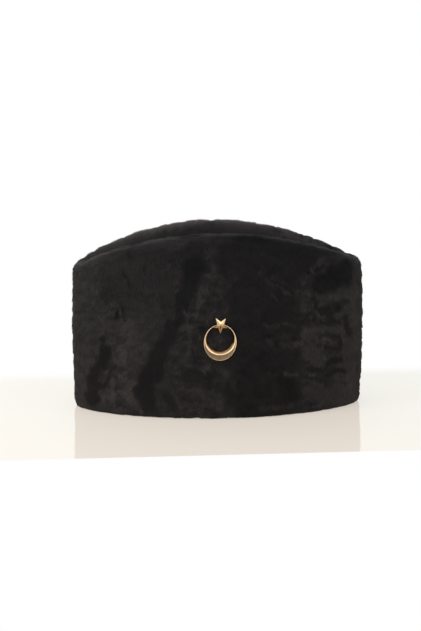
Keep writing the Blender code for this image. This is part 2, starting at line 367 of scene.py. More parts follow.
def charted(x, z, streaks):
    """Tone, which is painted sheen, and curl from a chart of streaks, each painted over those
    before it.

    A streak is full along its line and fades at its edge, a wide one more slowly."""
    tone, curl = np.zeros_like(x), np.full_like(x, EVEN_CURL)
    for from_x, from_z, to_x, to_z, half_width, streak_tone, streak_curl in streaks:
        start = np.array((from_x, from_z)) * MM
        line = np.array((to_x, to_z)) * MM - start
        share = ((x - start[0]) * line[0] + (z - start[1]) * line[1]) / (line @ line)
        share = np.clip(share, 0, 1)
        gap = np.hypot(x - start[0] - share * line[0], z - start[1] - share * line[1])
        edge = min(STREAK_EDGE + STREAK_FADE * half_width * MM, half_width * MM)
        strength = np.clip((half_width * MM + edge - gap) / (2 * edge), 0, 1)
        strength = strength * strength * (3 - 2 * strength)
        tone += strength * (streak_tone - tone)
        curl += strength * (streak_curl - curl)
    return tone, curl


def creases(along, run, side, seed):
    """Thin creases where the pelt is bent most: across the roll, and level round the ends."""
    angle = np.interp(along, PLAN_LENGTHS, PLAN_ANGLES)
    past_top = run - panel_run(along, side) + SEAM_RUN + ROLL_RADIUS * slope_at(angle)
    near_roll = np.exp(-((past_top / ROLL_RADIUS) ** 2))
    near_end = np.abs(np.sin(angle)) ** 6
    across_roll = np.abs(cells(along / CREASE_SPACING, run / CREASE_LENGTH, seed + 40))
    round_end = np.abs(cells(along / CREASE_LENGTH, run / CREASE_SPACING, seed + 41))
    thin_across, thin_round = (np.clip(1 - 4 * line, 0, 1) for line in (across_roll, round_end))
    return near_roll * thin_across + near_end * thin_round


def fleece(along, run, side, seed):
    """A panel's tone, its curliness from 0 to 1, and the sink of the pile's roots.

    The front's tone is painted sheen that follows its chart, bent and frayed. The back, which no
    chart covers, is all clouds, which are faint on its rim. The creases take a painted shade."""
    if side > 0:
        skin = panel(along, run, 0, side)
        x, z = skin[..., 0], skin[..., 2]
        x = x + STREAK_BEND * cloud(along, run, STREAK_BEND_SIZE, seed + 50)
        z = z + STREAK_BEND * cloud(along, run, STREAK_BEND_SIZE, seed + 60)
        x = x + STREAK_FRAY * cloud(along, run, STREAK_FRAY_SIZE, seed + 51)
        z = z + STREAK_FRAY * cloud(along, run, STREAK_FRAY_SIZE, seed + 61)
        tone, curl = charted(x, z, STREAKS)
    else:
        calm = np.clip((panel_run(along, side) - run) / BACK_CALM_REACH, 0.3, 1)
        tone = BACK_SWING * calm * cloud(along, run / 1.6, BACK_CLOUD_SIZE, seed + 50)
        curl = np.clip(EVEN_CURL + cloud(along, run, BACK_CURL_SIZE, seed + 60), 0.1, 0.6)
    crease = creases(along, run, side, seed)
    sink = pile_depth(run) + hide_lumps(along, run, curl, seed) + CREASE_DEPTH * crease
    return tone - CREASE_SHADE * crease, curl, sink


def shell_mesh(name, rings, finishes, inner_from):
    """A closed mesh through rings of equally many points, capped at both ends.

    Ring i's point j joins its neighbours in a grid of quads. Quads from column inner_from on
    take the second finish."""
    stations, count, _ = rings.shape
    i, j = np.meshgrid(np.arange(stations - 1), np.arange(count), indexing="ij")
    following = (j + 1) % count
    quads = np.stack(
        [i * count + j, (i + 1) * count + j, (i + 1) * count + following, i * count + following],
        axis=-1,
    ).reshape(-1, 4)
    caps = [list(range(count)), list(range((stations - 1) * count, stations * count))[::-1]]
    mesh = bpy.data.meshes.new(name)
    mesh.from_pydata(rings.reshape(-1, 3).tolist(), [], quads.tolist() + caps)
    inner = np.concatenate([(j >= inner_from).ravel(), [False, False]]).astype(np.int32)
    mesh.polygons.foreach_set("material_index", inner)
    for finish in finishes:
        mesh.materials.append(finish)
    mesh.shade_smooth()
    mesh.set_sharp_from_angle(angle=math.radians(50))
    return mesh


def place(name, mesh, node):
    """Links a finished mesh as a piece that rides on the hat and stands for a node."""
    made = bpy.data.objects.new(name, mesh)
    bpy.context.scene.collection.objects.link(made)
    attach(made, "root")
    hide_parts(node)
    return made


def panel_hide(side, seed, finishes):
    """Rings of a panel's hide: up the pile side, across the seam, down the bare side."""
    along = np.linspace(-HALF_GIRTH, HALF_GIRTH, HIDE_STATIONS)[:, None]
    whole = panel_run(along, side)
    run = whole * np.linspace(0, 1, HIDE_OUTER_POINTS)[None, :]
    _, _, sink = fleece(along, run, side, seed)
    # The lumps die out at the seam, where the crown's hide meets the panel's.
    calm = np.clip((whole - run) / (6 * MM), 0, 1)
    sink = PILE_DEPTH + (sink - PILE_DEPTH) * calm
    outer = panel(along, run, sink, side)
    low = hem_length(hem_rise(np.interp(along, PLAN_LENGTHS, PLAN_ANGLES)))
    back = low + (whole - low) * np.linspace(1, 0, HIDE_INNER_POINTS)[None, :]
    inner = panel(along, back, WALL, side)
    inner[:, -1, 2] = HEM_INNER_ROUND
    foot = panel(along, low, WALL - HEM_INNER_ROUND, side)
    foot[:, :, 2] = HEM_PILE_DEPTH
    rings = np.concatenate([outer, inner, foot], axis=1)
    return shell_mesh("panel_hide", rings, finishes, HIDE_OUTER_POINTS)


def principled(name):
    """A new material with its node tree and its Principled shader."""
    made = bpy.data.materials.new(name)
    made.use_nodes = True
    return made, made.node_tree, made.node_tree.nodes["Principled BSDF"]


def mottle_group():
    """Cloudy patches: layered noise, from a dark colour where it is Low to a light one at High."""
    made = bpy.data.node_groups.new("mottle", "ShaderNodeTree")
    for name, kind in (
        ("Vector", "Vector"),
        ("Scale", "Float"),
        ("Detail", "Float"),
        ("Low", "Float"),
        ("High", "Float"),
        ("Dark", "Color"),
        ("Light", "Color"),
    ):
        made.interface.new_socket(name=name, in_out="INPUT", socket_type="NodeSocket" + kind)
    made.interface.new_socket(name="Colour", in_out="OUTPUT", socket_type="NodeSocketColor")
    made.interface.new_socket(name="Amount", in_out="OUTPUT", socket_type="NodeSocketFloat")
    given = made.nodes.new("NodeGroupInput")
    noise = made.nodes.new("ShaderNodeTexNoise")
    share = made.nodes.new("ShaderNodeMapRange")
    mix = made.nodes.new("ShaderNodeMix")
    mix.data_type = "RGBA"
    put_out = made.nodes.new("NodeGroupOutput")
    link = made.links.new
    for name in ("Vector", "Scale", "Detail"):
        link(given.outputs[name], noise.inputs[name])
    link(noise.outputs["Fac"], share.inputs["Value"])
    link(given.outputs["Low"], share.inputs["From Min"])
    link(given.outputs["High"], share.inputs["From Max"])
    mix_factor, mix_dark, mix_light, mix_colour = 0, 6, 7, 2
    link(share.outputs["Result"], mix.inputs[mix_factor])
    link(given.outputs["Dark"], mix.inputs[mix_dark])
    link(given.outputs["Light"], mix.inputs[mix_light])
    link(mix.outputs[mix_colour], put_out.inputs["Colour"])
    link(noise.outputs["Fac"], put_out.inputs["Amount"])
    return made


mottle = mottle_group()


def mottled(tree, scale, detail, low, high, dark, light):
    """The mottle in a material's tree, on Object coordinates, with this finish's own values."""
    where = tree.nodes.new("ShaderNodeTexCoord")
    made = tree.nodes.new("ShaderNodeGroup")
    made.node_tree = mottle
    made.inputs["Scale"].default_value = scale
    made.inputs["Detail"].default_value = detail
    made.inputs["Low"].default_value = low
    made.inputs["High"].default_value = high
    made.inputs["Dark"].default_value = (*dark, 1)
    made.inputs["Light"].default_value = (*light, 1)
    tree.links.new(where.outputs["Object"], made.inputs["Vector"])
    return made


def bare_hide_finish():
    """Black chrome-tanned leather: fine pebble grain, and cloudy dull patches."""
    made, tree, shader = principled("black_bare_hide")
    where = tree.nodes.new("ShaderNodeTexCoord")
    grain = tree.nodes.new("ShaderNodeTexVoronoi")
    grain.inputs["Scale"].default_value = 900
    patches = mottled(tree, 45, 5, 0.35, 0.7, (0.012, 0.010, 0.009), (0.035, 0.029, 0.025))
    dull = tree.nodes.new("ShaderNodeMapRange")
    dull.inputs["To Min"].default_value = 0.5
    dull.inputs["To Max"].default_value = 0.75
    bump = tree.nodes.new("ShaderNodeBump")
    bump.inputs["Strength"].default_value = 0.35
    bump.inputs["Distance"].default_value = 0.0004
    link = tree.links.new
    link(where.outputs["Object"], grain.inputs["Vector"])
    link(patches.outputs["Amount"], dull.inputs["Value"])
    link(grain.outputs["Distance"], bump.inputs["Height"])
    link(patches.outputs["Colour"], shader.inputs["Base Color"])
    link(dull.outputs["Result"], shader.inputs["Roughness"])
    link(bump.outputs["Normal"], shader.inputs["Normal"])
    shader.inputs["Specular IOR Level"].default_value = 0.3
    return made


def under_pile_finish():
    """The hide between the roots of the pile: almost black, with a fine woolly mottle."""
    made, tree, shader = principled("black_wool_roots")
    wool = mottled(tree, 700, 3, 0, 1, (0.004, 0.0035, 0.0035), (0.016, 0.014, 0.014))
    tree.links.new(wool.outputs["Colour"], shader.inputs["Base Color"])
    shader.inputs["Roughness"].default_value = 0.9
    shader.inputs["Specular IOR Level"].default_value = 0.1
    return made


bare_hide = bare_hide_finish()
wool_roots = under_pile_finish()
FRONT_SEED, BACK_SEED = 100, 200
place("front_hide", panel_hide(1, FRONT_SEED, (wool_roots, bare_hide)), "front_panel")
place("back_hide", panel_hide(-1, BACK_SEED, (wool_roots, bare_hide)), "back_panel")


# Front and back pile
# Sheared lambs' fleece, about 4 mm long and lying down. Where the nap turns it catches the light
# otherwise, which gives the fleece its swirls. These swirls are also painted into the tufts' tone
# as painted sheen, charted as streaks on the front, and the rim's fold carries painted highlight
# and shade.

TUFT_COUNT = 40000
TUFT_LENGTH = 4.0 * MM
TUFT_RADIUS = 0.46 * MM
TUFT_LIFT = math.radians(24)
TUFT_SHOWN = 0.7
# Tufts are painted darker at the root, as painted shade deep in the pile, and a little lighter at
# the tip, as painted light.
ROOT_SHADE, TIP_LIGHT = 0.75, 1.06
SOFTNESS = 0.6
CLUMP_SIZE = 5 * MM
CLUMP_LENGTHENS, CLUMP_LIFTS = 0.12, 0.1
SWELL_SIZE = 26 * MM
SWELL_TURNS, SWELL_LIGHTENS = 0.9, 0.12
SWIRL_SIZE = 8 * MM
CURL_TURNS, CURL_SHORTENS, CURL_LIGHTENS = 1.3, 0.4, 0.9
FINE_SWING, FINE_SIZE = 1.3, 3.2 * MM
STRAY_TURN, STRAY_LIFT, STRAY_PLACE = 0.14, 0.04, 0.35 * MM
SHORTEST, LONGEST = 0.85, 1.1
THINNEST, THICKEST = 0.85, 1.15
SEAM_MARGIN = 0.6 * MM
RIM_LIGHT = 0.22
BACK_RIM_LIGHT = 2.3
BACK_RIM_BRIGHTEST = 20 * MM
BACK_RIM_SPREAD = 80 * MM
VALLEY_SHADE = 0.35
FLOOR_CLEARANCE = 0.3 * MM


def tuft_mesh(name, roots, across, up, normal, tufts, tile):
    """Closed three-sided spikes. Each root is a triangle about its point, and its tip is one tuft
    length along the nap, which lies in the surface, turned by the swirl and lifted off it.

    tufts holds the arrays turn, lift, length, radius and tone, and tile the roots' place in the
    pelt's own flat map. The shading leans from each spike's own normals to the pelt's."""
    turn, lift = tufts["turn"][:, None], tufts["lift"][:, None]
    lying = np.cos(turn) * up + np.sin(turn) * across
    sideways = np.cross(lying, normal)
    axis = np.cos(lift) * lying + np.sin(lift) * normal
    crest = np.cross(sideways, axis)
    radius = tufts["radius"][:, None]
    spokes = [
        math.cos(a) * crest + math.sin(a) * sideways for a in (0, 2 * math.pi / 3, 4 * math.pi / 3)
    ]
    tips = roots + axis * tufts["length"][:, None]
    points = np.stack([*(roots + radius * spoke for spoke in spokes), tips], axis=1)
    points[:, :, 2] = np.maximum(points[:, :, 2], FLOOR_CLEARANCE)
    normals = np.stack(
        [*(SOFTNESS * normal + (1 - SOFTNESS) * spoke for spoke in spokes), normal], axis=1
    )

    faces = np.array(((0, 1, 3), (1, 2, 3), (2, 0, 3), (0, 2, 1)))
    count = len(roots)
    corners_of_faces = (np.arange(count)[:, None, None] * 4 + faces[None]).reshape(-1, 3)
    mesh = bpy.data.meshes.new(name)
    mesh.vertices.add(4 * count)
    mesh.vertices.foreach_set("co", points.astype(np.float32).ravel())
    mesh.loops.add(12 * count)
    mesh.loops.foreach_set("vertex_index", corners_of_faces.astype(np.int32).ravel())
    mesh.polygons.add(4 * count)
    mesh.polygons.foreach_set("loop_start", np.arange(0, 12 * count, 3, dtype=np.int32))
    mesh.update(calc_edges=True)

    tone = mesh.attributes.new("tone", "FLOAT", "POINT")
    # Painted shade at each tuft's root and painted light at its tip.
    shades = tufts["tone"][:, None] * np.array((ROOT_SHADE, ROOT_SHADE, ROOT_SHADE, TIP_LIGHT))
    tone.data.foreach_set("value", shades.astype(np.float32).ravel())
    small = 0.4 / math.sqrt(count)
    spread = np.array(((0, small), (small, -small), (-small, -small), (0, 0)))
    flat = (tile[:, None, :] + spread[None]).reshape(-1, 2)
    layer = mesh.uv_layers.new(name="OFBake")
    layer.data.foreach_set("uv", flat[corners_of_faces.ravel()].astype(np.float32).ravel())
    mesh.shade_smooth()
    normals /= np.linalg.norm(normals, axis=2, keepdims=True)
    mesh.normals_split_custom_set_from_vertices(normals.reshape(-1, 3))
    return mesh


def directions(surface, along, run):
    """Unit vectors across and up a surface, and its outward normal, from small steps on it."""
    step = 0.05 * MM
    across = surface(along + step, run) - surface(along - step, run)
    up = surface(along, run + step) - surface(along, run - step)
    normal = np.cross(across, up)
    normal /= np.linalg.norm(normal, axis=1, keepdims=True)
    across /= np.linalg.norm(across, axis=1, keepdims=True)
    return across, np.cross(normal, across), normal


def scattered(count, wide, high, rng):
    """Jittered places on a grid of about count cells, as shares of the width and the height."""
    columns = round(math.sqrt(count * wide / high))
    rows = count // columns
    i, j = np.meshgrid(np.arange(columns), np.arange(rows), indexing="ij")
    places = np.stack([i.ravel() + rng.random(i.size), j.ravel() + rng.random(i.size)], axis=1)
    return places / (columns, rows)


def fold_light_and_shade(along, run, side):
    """Painted light and shade over the rim: a painted highlight on the front's fold, and painted
    shade behind it towards the valley.

    The back has a painted highlight on its side towards the valley, most of all a little to the
    left of its middle."""
    slope = slope_at(np.interp(along, PLAN_LENGTHS, PLAN_ANGLES))
    past_top = run - panel_run(along, side) + SEAM_RUN + ROLL_RADIUS * slope
    if side > 0:
        fold = np.exp(-((past_top / ROLL_RADIUS + 0.32) / 0.2) ** 2)
        return RIM_LIGHT * fold - VALLEY_SHADE * np.clip(past_top / (12 * MM), 0, 1)
    sideways = (along - BACK_RIM_BRIGHTEST) / BACK_RIM_SPREAD
    return BACK_RIM_LIGHT * np.exp(-((past_top - 2 * MM) / (6 * MM)) ** 2 - sideways**2)


def panel_pile(name, side, seed, finish, left, right):
    """The pile of one panel between two shares of its girth, with roots on its lumpy hide."""
    rng = np.random.default_rng(seed + round(100 * left))
    middle_run = panel_run(np.zeros(1), side)[0]
    share = scattered(TUFT_COUNT, 2 * HALF_GIRTH * (right - left), middle_run, rng)
    along = (2 * (left + share[:, 0] * (right - left)) - 1) * (HALF_GIRTH - SEAM_MARGIN)
    run = share[:, 1] * panel_run(along, side)
    _, curl, sink = fleece(along, run, side, seed)
    roots = panel(along, run, sink, side)
    across, up, normal = directions(
        lambda a, r: panel(np.clip(a, -HALF_GIRTH, HALF_GIRTH), r, 0, side), along, run
    )

    count = len(along)
    swell = cloud(along, run, SWELL_SIZE, seed + 70)
    clump = cells(along / CLUMP_SIZE, run / CLUMP_SIZE, seed + 90)
    turn = math.pi + SWELL_TURNS * swell
    turn = turn + curl * CURL_TURNS * cloud(along, run, SWIRL_SIZE, seed + 80)
    turn = turn + rng.normal(0, STRAY_TURN, count)
    length = TUFT_LENGTH * pile_depth(run) / PILE_DEPTH * (1 + CLUMP_LENGTHENS * clump)
    length = length * rng.uniform(SHORTEST, LONGEST, count) * (1 - CURL_SHORTENS * curl)

    # The colour comes from the place that the tuft's bare end covers.
    shown_along = along + TUFT_SHOWN * length * np.sin(turn)
    shown_run = run + TUFT_SHOWN * length * np.cos(turn)
    shown_along += rng.normal(0, STRAY_PLACE, count)
    shown_run += rng.normal(0, STRAY_PLACE, count)
    tone, curl, _ = fleece(shown_along, shown_run, side, seed)
    # The tone takes the rim's painted highlight and painted shade, and painted sheen from the
    # swell that also turns the nap.
    tone = tone + (1 + tone) * fold_light_and_shade(along, run, side) + SWELL_LIGHTENS * swell
    tone += CURL_LIGHTENS * curl**2 * curls(shown_along, shown_run, seed + 3)
    tone += FINE_SWING * curl * cloud(shown_along / 1.6, shown_run, FINE_SIZE, seed + 4)
    tone += 0.04 * rng.normal(0, 1, count)
    tufts = {
        "turn": turn,
        "lift": TUFT_LIFT + CLUMP_LIFTS * clump + rng.normal(0, STRAY_LIFT, count),
        "length": length,
        "radius": TUFT_RADIUS * rng.uniform(THINNEST, THICKEST, count),
        "tone": np.clip(1 + tone, 0.1, 2.4),
    }
    mesh = tuft_mesh(name, roots, across, up, normal, tufts, share)
    mesh.materials.append(finish)
    return mesh


def pile_finish():
    """Black fleece: the tone of each tuft, with its painted sheen and painted shade, sets its
    colour, and its edges have a soft sheen.
    """
    made, tree, shader = principled("black_pile")
    tone = tree.nodes.new("ShaderNodeAttribute")
    tone.attribute_name = "tone"
    colours = tree.nodes.new("ShaderNodeValToRGB")
    ramp = colours.color_ramp
    ramp.elements[0].color = (0.0045, 0.0042, 0.0047, 1)
    ramp.elements[1].color = (0.066, 0.0585, 0.057, 1)
    half = ramp.elements.new(0.45)
    half.color = (0.0208, 0.0190, 0.0188, 1)
    scale = tree.nodes.new("ShaderNodeMath")
    scale.operation = "MULTIPLY"
    scale.inputs[1].default_value = 0.45
    link = tree.links.new
    link(tone.outputs["Fac"], scale.inputs[0])
    link(scale.outputs["Value"], colours.inputs["Fac"])
    link(colours.outputs["Color"], shader.inputs["Base Color"])
    shader.inputs["Roughness"].default_value = 0.55
    shader.inputs["Specular IOR Level"].default_value = 0.12
    shader.inputs["Sheen Weight"].default_value = 0.05
    shader.inputs["Sheen Roughness"].default_value = 0.45
    shader.inputs["Sheen Tint"].default_value = (1.0, 0.93, 0.90, 1)
    return made


black_pile = pile_finish()
for node, side, seed in (("front", 1, FRONT_SEED), ("back", -1, BACK_SEED)):
    for half, left, right in (("left", 0.0, 0.5), ("right", 0.5, 1.0)):
        pile_name = f"{node}_pile_{half}"
        pile = panel_pile(pile_name, side, seed, black_pile, left, right)
        place(pile_name, pile, f"{node}_panel")


# Crown
# The boat-shaped top pelt, sewn in between the two rims and pushed down into a lengthwise valley.
# Its pile lies from the valley up to the seams and hides them.

CROWN = 7 * MM
CROWN_HALF_LENGTH = 104 * MM
CROWN_TIP = math.radians(87)
VALLEY_FALL = 34 * MM
VALLEY_POWER = 1.6
VALLEY_ROUNDNESS = 0.6
CROWN_HIDE_STATIONS = 150
CROWN_HIDE_POINTS = 72
CROWN_TUFT_COUNT = 34000
CROWN_SEED = 300


def crown(angle, across, sink):
    """Points of the crown, from the plan's angle and the share across, -1 in front to 1 behind.

    Each half runs from its seam to the valley's floor as a cubic with given end slopes. Sink
    moves the seam along its own normal, and the floor straight down."""
    base_x, base_y, normal_x, normal_y = plan(angle)
    slope = slope_at(angle)
    flat, steep = np.cos(slope), np.sin(slope)
    reach = ROLL_RADIUS * (1 + steep) + (SEAM_RUN + SEAM_GAP) * flat
    below_rim = ROLL_RADIUS * (1 - flat) + (SEAM_RUN + SEAM_GAP) * steep
    seam_z = rim_height(base_x, -np.sign(across) * base_y) - below_rim
    floor_x = CROWN_HALF_LENGTH * np.sin(angle)
    fall = VALLEY_FALL * np.cos(angle) ** VALLEY_POWER
    floor_z = rim_height(base_x, 0) - below_rim - fall - sink
    seam_x = base_x - normal_x * (reach - sink * steep)
    seam_y = base_y - normal_y * (reach - sink * steep)
    seam_z = seam_z - sink * flat
    length = np.sqrt((floor_x - seam_x) ** 2 + seam_y**2 + (floor_z - seam_z) ** 2)

    t = 1 - np.abs(across)
    stay, go = 2 * t**3 - 3 * t**2 + 1, 3 * t**2 - 2 * t**3
    leave, arrive = (t**3 - 2 * t**2 + t) * length, (t**3 - t**2) * length
    x = seam_x * stay + floor_x * go - normal_x * flat * leave
    y = seam_y * stay - normal_y * flat * leave + VALLEY_ROUNDNESS * arrive
    z = seam_z * stay + floor_z * go - steep * leave
    return np.stack([x, -np.sign(across) * y + PLAN_CENTRE_Y, z], axis=-1)


def crown_lumps(points, seed):
    """The crown hide's lumps, worked out from where the points lie in plan."""
    return hide_lumps(points[..., 0], points[..., 1] + 0.3, EVEN_CURL, seed)


def crown_hide(finishes):
    """Rings of the crown's hide: across on the pile side, and back on the bare side."""
    angle = np.linspace(-CROWN_TIP, CROWN_TIP, CROWN_HIDE_STATIONS)[:, None]
    across = np.linspace(-1, 1, CROWN_HIDE_POINTS)[None, :]
    lumps = crown_lumps(crown(angle, across, 0), CROWN_SEED)
    calm = np.clip((1 - np.abs(across)) * 8, 0, 1) * np.clip(np.cos(angle) * 4, 0, 1)
    above = crown(angle, across, PILE_DEPTH * np.clip(np.cos(angle) * 6, 0.3, 1) + calm * lumps)
    below = crown(angle, across[:, ::-1], CROWN)
    rings = np.concatenate([above, below], axis=1)[:, ::-1]
    return shell_mesh("crown_hide", rings, finishes[::-1], CROWN_HIDE_POINTS)


def crown_pile(name, finish):
    """The crown's pile, in rows across the valley with as many tufts as each row is long."""
    rng = np.random.default_rng(CROWN_SEED)
    edges = np.linspace(-CROWN_TIP, CROWN_TIP, 211)
    middles = (edges[1:] + edges[:-1]) / 2
    lines = crown(middles[:, None], np.linspace(-1, 1, 25)[None, :], 0)
    lengths = np.linalg.norm(np.diff(lines, axis=1), axis=2).sum(axis=1)
    widths = np.abs(np.diff(HALF_WIDTH * np.sin(edges)))
    counts = np.maximum(1, np.round(CROWN_TUFT_COUNT * lengths * widths / (lengths @ widths)))
    counts = counts.astype(int)
    row = np.repeat(np.arange(len(counts)), counts)
    place_in_row = np.arange(len(row)) - np.repeat(np.cumsum(counts) - counts, counts)
    share = (place_in_row + rng.random(len(row))) / counts[row]
    across = np.clip(2 * share - 1, -0.995, 0.995)
    across[np.abs(across) < 1e-3] = 1e-3
    angle = edges[row] + rng.random(len(row)) * (edges[1] - edges[0])

    skin = crown(angle, across, 0)
    sink = PILE_DEPTH + crown_lumps(skin, CROWN_SEED)
    roots = crown(angle, across, sink)
    small = 0.002
    along = crown(angle + small, across, 0) - crown(angle - small, across, 0)
    over = crown(angle, across + small, 0) - crown(angle, across - small, 0)
    normal = np.cross(along, over)
    normal /= np.linalg.norm(normal, axis=1, keepdims=True)
    along /= np.linalg.norm(along, axis=1, keepdims=True)
    seamward = np.cross(normal, along) * np.sign(across)[:, None]
    x, y = skin[:, 0], skin[:, 1] + 0.3
    ridges = curls(x, y, CROWN_SEED + 3)
    swell = cloud(x, y, SWELL_SIZE, CROWN_SEED + 70)
    whirl = 0.5 * cloud(x, y, SWIRL_SIZE, CROWN_SEED + 80)
    count = len(row)
    # The crown's tone is darkened all over by the valley's painted shade, and takes painted sheen
    # from the swell that also turns its nap.
    tufts = {
        "turn": 0.8 * swell + whirl + rng.normal(0, STRAY_TURN, count),
        "lift": TUFT_LIFT + rng.normal(0, STRAY_LIFT, count),
        "length": TUFT_LENGTH * rng.uniform(SHORTEST, LONGEST, count),
        "radius": TUFT_RADIUS * rng.uniform(THINNEST, THICKEST, count),
        "tone": 1 - VALLEY_SHADE + SWELL_LIGHTENS * (ridges + swell) + rng.normal(0, 0.05, count),
    }
    tile = np.stack([(row + 0.5) / len(counts), share], axis=1)
    mesh = tuft_mesh(name, roots, along, seamward, normal, tufts, tile)
    mesh.materials.append(finish)
    return mesh


place("crown_hide", crown_hide((wool_roots, bare_hide)), "crown_panel")
place("crown_pile", crown_pile("crown_pile", black_pile), "crown_panel")


# Badge
# A gilt brass crescent, steep on its inner flank and flatter outside its ridge, and a faceted
# star, one point down, soldered under its thin end. Its edges are softened by polishing.

BADGE_X = -5.5 * MM
BADGE_Z = 65.75 * MM
BADGE_TILT = math.radians(2)
CRESCENT_HALF_WIDTH = 13.5 * MM
CRESCENT_HALF_HEIGHT = 15.15 * MM
HOLE_RADIUS = 10.85 * MM
HOLE_RISE = 3.35 * MM
RIDGE_INSET = 2.2 * MM
RIDGE_SHARE = 0.55
RIDGE_SHARE_THIN = 0.3
RIDGE_LOW = 2.4 * MM
RIDGE_HIGH = 3.1 * MM
INNER_EDGE_SHARE = 0.1
OUTER_TILT_THIN = math.radians(32)
OUTER_TILT_WIDE = math.radians(3)
POLISH_RADII_MM = (0.2, 0.4, 1.5, 0.5, 0.2)
POLISH_STEPS = 7
CRESCENT_STATIONS = 180
STAR_RADIUS = 7.2 * MM
STAR_WAIST = 3.0 * MM
STAR_RISE = 10.7 * MM
STAR_APEX = 1.4 * MM
STAR_EDGE = 0.4 * MM
STAR_BEVEL = 0.14 * MM


def softened(corners, radii, steps):
    """Corners of closed sections, each replaced by a small parabola between its two sides."""
    before = np.roll(corners, 1, axis=1) - corners
    after = np.roll(corners, -1, axis=1) - corners
    room_before = np.linalg.norm(before, axis=2, keepdims=True)
    room_after = np.linalg.norm(after, axis=2, keepdims=True)
    start = corners + before / room_before * np.minimum(radii, 0.4 * room_before)
    end = corners + after / room_after * np.minimum(radii, 0.4 * room_after)
    t = np.linspace(0, 1, steps)[None, None, :, None]
    curve = (
        start[:, :, None] * (1 - t) ** 2
        + 2 * corners[:, :, None] * t * (1 - t)
        + end[:, :, None] * t**2
    )
    return curve.reshape(len(corners), -1, 2)


def crescent_mesh():
    """A ring of sections round the hole. A section's outer side is where a ray from the hole's
    centre meets an oval that hangs below it."""
    angle = np.linspace(0, 2 * math.pi, CRESCENT_STATIONS, endpoint=False)
    sine, cosine = np.sin(angle), np.cos(angle)
    a = (cosine / CRESCENT_HALF_WIDTH) ** 2 + (sine / CRESCENT_HALF_HEIGHT) ** 2
    b = 2 * HOLE_RISE * sine / CRESCENT_HALF_HEIGHT**2
    c = (HOLE_RISE / CRESCENT_HALF_HEIGHT) ** 2 - 1
    outer = (np.sqrt(b * b - 4 * a * c) - b) / (2 * a)
    band = outer - HOLE_RADIUS
    thin = (1 - band / band.max()) ** 3
    ridge_share = RIDGE_SHARE + (RIDGE_SHARE_THIN - RIDGE_SHARE) * thin
    ridge = HOLE_RADIUS + np.minimum(RIDGE_INSET, ridge_share * band)
    height = RIDGE_LOW + (RIDGE_HIGH - RIDGE_LOW) * band / band.max()
    tilt = OUTER_TILT_WIDE + (OUTER_TILT_THIN - OUTER_TILT_WIDE) * thin
    hole = np.full_like(outer, HOLE_RADIUS)
    none = np.zeros_like(outer)
    corners = np.stack(
        [
            np.stack([hole, none], axis=1),
            np.stack([hole, INNER_EDGE_SHARE * height], axis=1),
            np.stack([ridge, height], axis=1),
            np.stack([outer, height - (outer - ridge) * np.tan(tilt)], axis=1),
            np.stack([outer, none], axis=1),
        ],
        axis=1,
    )
    section = softened(corners, np.array(POLISH_RADII_MM)[:, None] * MM, POLISH_STEPS)
    reach, rise = section[..., 0], section[..., 1]
    rings = np.stack(
        [reach * cosine[:, None], -rise, HOLE_RISE + reach * sine[:, None]], axis=-1
    )
    stations, count, _ = rings.shape
    i, j = np.meshgrid(np.arange(stations), np.arange(count), indexing="ij")
    next_i, next_j = (i + 1) % stations, (j + 1) % count
    quads = np.stack(
        [i * count + j, i * count + next_j, next_i * count + next_j, next_i * count + j], axis=-1
    )
    mesh = bpy.data.meshes.new("crescent")
    mesh.from_pydata(rings.reshape(-1, 3).tolist(), [], quads.reshape(-1, 4).tolist())
    return mesh


def star_mesh():
    """A star of ten facets that rise from its edge to its middle."""
    turn = -math.pi / 2 + np.arange(10) * math.pi / 5
    radius = np.where(np.arange(10) % 2, STAR_WAIST, STAR_RADIUS)
    x, z = radius * np.cos(turn), HOLE_RISE + STAR_RISE + radius * np.sin(turn)
    back = np.stack([x, np.zeros(10), z], axis=1)
    front = np.stack([x, np.full(10, -STAR_EDGE), z], axis=1)
    middle = np.array([[0, -STAR_APEX, HOLE_RISE + STAR_RISE]])
    sides = [(i, (i + 1) % 10, 10 + (i + 1) % 10, 10 + i) for i in range(10)]
    facets = [(10 + i, 10 + (i + 1) % 10, 20) for i in range(10)]
    mesh = bpy.data.meshes.new("star")
    points = np.concatenate([back, front, middle]).tolist()
    mesh.from_pydata(points, [], [list(range(10))[::-1], *sides, *facets])
    return mesh


def soldered(name, crescent, star):
    """The two meshes as one solid, in place on the front of the hat."""
    made = bpy.data.objects.new(name, crescent)
    tool = bpy.data.objects.new("star_tool", star)
    for shape in (made, tool):
        bpy.context.scene.collection.objects.link(shape)
    polish = tool.modifiers.new("polish", "BEVEL")
    polish.width = STAR_BEVEL
    polish.segments = 2
    polish.limit_method = "ANGLE"
    polish.angle_limit = math.radians(12)
    solder = made.modifiers.new("solder", "BOOLEAN")
    solder.operation = "UNION"
    solder.object = tool
    bpy.context.view_layer.update()
    graph = bpy.context.evaluated_depsgraph_get()
    mesh = bpy.data.meshes.new_from_object(made.evaluated_get(graph))
    bpy.data.objects.remove(made)
    bpy.data.objects.remove(tool)
    back_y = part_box("crescent_star_badge")[1].y
    mesh.transform(Matrix.Rotation(BADGE_TILT, 4, "Y"))
    mesh.transform(Matrix.Translation((BADGE_X, back_y, BADGE_Z)))
    mesh.shade_smooth()
    mesh.set_sharp_from_angle(angle=math.radians(32))
    return mesh


